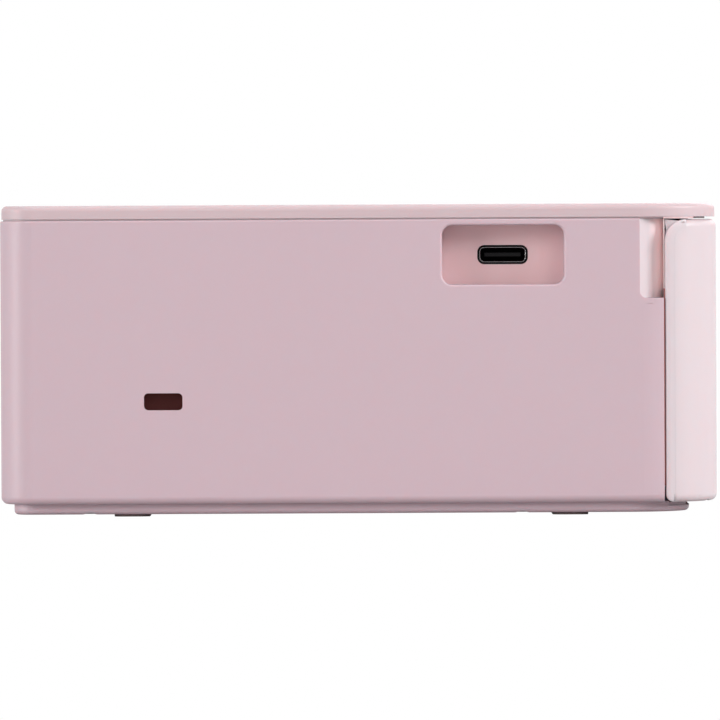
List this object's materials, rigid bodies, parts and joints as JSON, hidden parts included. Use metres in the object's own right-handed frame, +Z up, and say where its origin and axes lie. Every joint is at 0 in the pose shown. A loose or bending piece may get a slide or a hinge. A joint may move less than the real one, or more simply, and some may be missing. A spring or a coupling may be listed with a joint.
{
  "type": "compact photo printer",
  "caption": "Low rectangular dye-sublimation photo printer with a hinged front cover, a cartridge door, a top screen with keys and a roller print engine inside.",
  "frame": {"origin": "middle of the footprint on the surface that the feet stand on", "axes": "+X along the width to the printer's right side, +Y to its rear, +Z up; the front cover faces -Y"},
  "size_m": [0.1822, 0.133, 0.0576],
  "materials": {
    "shell": "fine satin pale pink",
    "lid": "fine satin pale pink",
    "key": "satin pale pink",
    "frame_plastic": "satin",
    "glass": "clear over a dark panel",
    "panel": "gloss",
    "rubber": "matt",
    "steel": "zinc plated",
    "bright_steel": "bright",
    "black_plastic": "satin",
    "board": "lacquered",
    "gear_plastic": "natural acetal",
    "cartridge_plastic": "satin",
    "heat_sink_metal": "plain"
  },
  "bodies": {
    "body": {"base_cover": "shell", "base_screws": "bright_steel", "board_chips": "black_plastic", "card_socket": "bright_steel", "cartridge_case": "cartridge_plastic", "display_panel": "panel", "drive_motor": "bright_steel", "engine_left_plate": "steel", "engine_right_plate": "steel", "engine_tie_rod": "bright_steel", "engine_tray": "steel", "feet": "rubber", "front_frame": "frame_plastic", "head_arm_shaft": "bright_steel", "key_board": "board", "key_switches": "black_plastic", "main_board": "board", "main_casing": "shell", "motor_bracket": "steel", "paper_guide": "frame_plastic", "power_jack": "black_plastic", "power_jack_pin": "bright_steel", "ribbon_film": "black_plastic", "screen_window": "glass", "top_cover": "lid", "usb_socket_shell": "bright_steel", "usb_socket_tongue": "black_plastic"},
    "front_cover": {"front_cover": "shell", "cover_hinge_pins": "bright_steel"},
    "cartridge_door": {"cartridge_door": "shell", "cartridge_door_pin": "bright_steel"},
    "grip_roller": {"grip_roller": "bright_steel", "grip_gear": "gear_plastic"},
    "pinch_roller": {"pinch_roller": "bright_steel"},
    "feed_roller": {"feed_shaft": "bright_steel", "feed_tyres": "rubber", "feed_gear": "gear_plastic"},
    "platen": {"platen_shaft": "bright_steel", "platen_sleeve": "rubber"},
    "takeup": {"takeup_gear": "gear_plastic", "takeup_shaft": "bright_steel", "takeup_spool": "black_plastic"},
    "supply": {"supply_spool": "black_plastic"},
    "motor": {"motor_pinion": "gear_plastic", "motor_shaft": "bright_steel"},
    "head_arm": {"head_arm": "steel", "heat_sink": "heat_sink_metal", "thermal_head": "black_plastic"},
    "power_key": {"power_key": "key"},
    "menu_key": {"menu_key": "key"},
    "edit_key": {"edit_key": "key"},
    "back_key": {"back_key": "key"},
    "zoom_out_key": {"zoom_out_key": "key"},
    "zoom_in_key": {"zoom_in_key": "key"},
    "print_key": {"print_key": "key"},
    "up_key": {"up_key": "key"},
    "down_key": {"down_key": "key"},
    "left_key": {"left_key": "key"},
    "right_key": {"right_key": "key"},
    "ok_key": {"ok_key": "key"}
  },
  "joints": [
    {"name": "front_cover_hinge", "type": "hinge", "parent": "body", "child": "front_cover", "pos_m": [0, -0.0632, 0.0052], "axis": [1, 0, 0], "range_deg": [0, 92]},
    {"name": "cartridge_door_hinge", "type": "hinge", "parent": "body", "child": "cartridge_door", "pos_m": [0.0896, 0.0565, 0.03], "axis": [0, 0, 1], "range_deg": [0, 95]},
    {"name": "head_arm_pivot", "type": "hinge", "parent": "body", "child": "head_arm", "pos_m": [0, 0.0572, 0.038], "axis": [1, 0, 0], "range_deg": [0, 3.8], "stiffness_Nm_per_rad": 2, "springref_deg": -2.86},
    {"name": "grip_spin", "type": "hinge", "parent": "body", "child": "grip_roller", "pos_m": [0, -0.017, 0.0229], "axis": [1, 0, 0], "continuous": true},
    {"name": "pinch_spin", "type": "hinge", "parent": "body", "child": "pinch_roller", "pos_m": [0, -0.017, 0.028], "axis": [1, 0, 0], "continuous": true},
    {"name": "feed_spin", "type": "hinge", "parent": "body", "child": "feed_roller", "pos_m": [0, -0.034, 0.0294], "axis": [1, 0, 0], "continuous": true},
    {"name": "platen_spin", "type": "hinge", "parent": "body", "child": "platen", "pos_m": [0, 0.02055, 0.0174], "axis": [1, 0, 0], "continuous": true},
    {"name": "takeup_spin", "type": "hinge", "parent": "body", "child": "takeup", "pos_m": [0, -0.0039, 0.0345], "axis": [1, 0, 0], "continuous": true},
    {"name": "supply_spin", "type": "hinge", "parent": "body", "child": "supply", "pos_m": [0, 0.045, 0.0345], "axis": [1, 0, 0], "continuous": true},
    {"name": "motor_spin", "type": "hinge", "parent": "body", "child": "motor", "pos_m": [0, 0.0096, 0.03079], "axis": [1, 0, 0], "continuous": true},
    {"name": "power_key_press", "type": "slide", "parent": "body", "child": "power_key", "axis": [0, 0, -1], "range_m": [0, 0.0005], "stiffness_N_per_m": 800},
    {"name": "menu_key_press", "type": "slide", "parent": "body", "child": "menu_key", "axis": [0, 0, -1], "range_m": [0, 0.0005], "stiffness_N_per_m": 800},
    {"name": "edit_key_press", "type": "slide", "parent": "body", "child": "edit_key", "axis": [0, 0, -1], "range_m": [0, 0.0005], "stiffness_N_per_m": 800},
    {"name": "back_key_press", "type": "slide", "parent": "body", "child": "back_key", "axis": [0, 0, -1], "range_m": [0, 0.0005], "stiffness_N_per_m": 800},
    {"name": "zoom_out_key_press", "type": "slide", "parent": "body", "child": "zoom_out_key", "axis": [0, 0, -1], "range_m": [0, 0.0005], "stiffness_N_per_m": 800},
    {"name": "zoom_in_key_press", "type": "slide", "parent": "body", "child": "zoom_in_key", "axis": [0, 0, -1], "range_m": [0, 0.0005], "stiffness_N_per_m": 800},
    {"name": "print_key_press", "type": "slide", "parent": "body", "child": "print_key", "axis": [0, 0, -1], "range_m": [0, 0.0005], "stiffness_N_per_m": 800},
    {"name": "up_key_press", "type": "slide", "parent": "body", "child": "up_key", "axis": [0, 0, -1], "range_m": [0, 0.0005], "stiffness_N_per_m": 800},
    {"name": "down_key_press", "type": "slide", "parent": "body", "child": "down_key", "axis": [0, 0, -1], "range_m": [0, 0.0005], "stiffness_N_per_m": 800},
    {"name": "left_key_press", "type": "slide", "parent": "body", "child": "left_key", "axis": [0, 0, -1], "range_m": [0, 0.0005], "stiffness_N_per_m": 800},
    {"name": "right_key_press", "type": "slide", "parent": "body", "child": "right_key", "axis": [0, 0, -1], "range_m": [0, 0.0005], "stiffness_N_per_m": 800},
    {"name": "ok_key_press", "type": "slide", "parent": "body", "child": "ok_key", "axis": [0, 0, -1], "range_m": [0, 0.0005], "stiffness_N_per_m": 800}
  ],
  "couplings": [
    {"joint": "pinch_spin", "follows": "grip_spin", "ratio": -1.0417},
    {"joint": "feed_spin", "follows": "grip_spin", "ratio": -0.73333},
    {"joint": "platen_spin", "follows": "grip_spin", "ratio": 0.3125},
    {"joint": "takeup_spin", "follows": "grip_spin", "ratio": -0.78571},
    {"joint": "supply_spin", "follows": "grip_spin", "ratio": -0.40476},
    {"joint": "motor_spin", "follows": "grip_spin", "ratio": 1.8333}
  ]
}
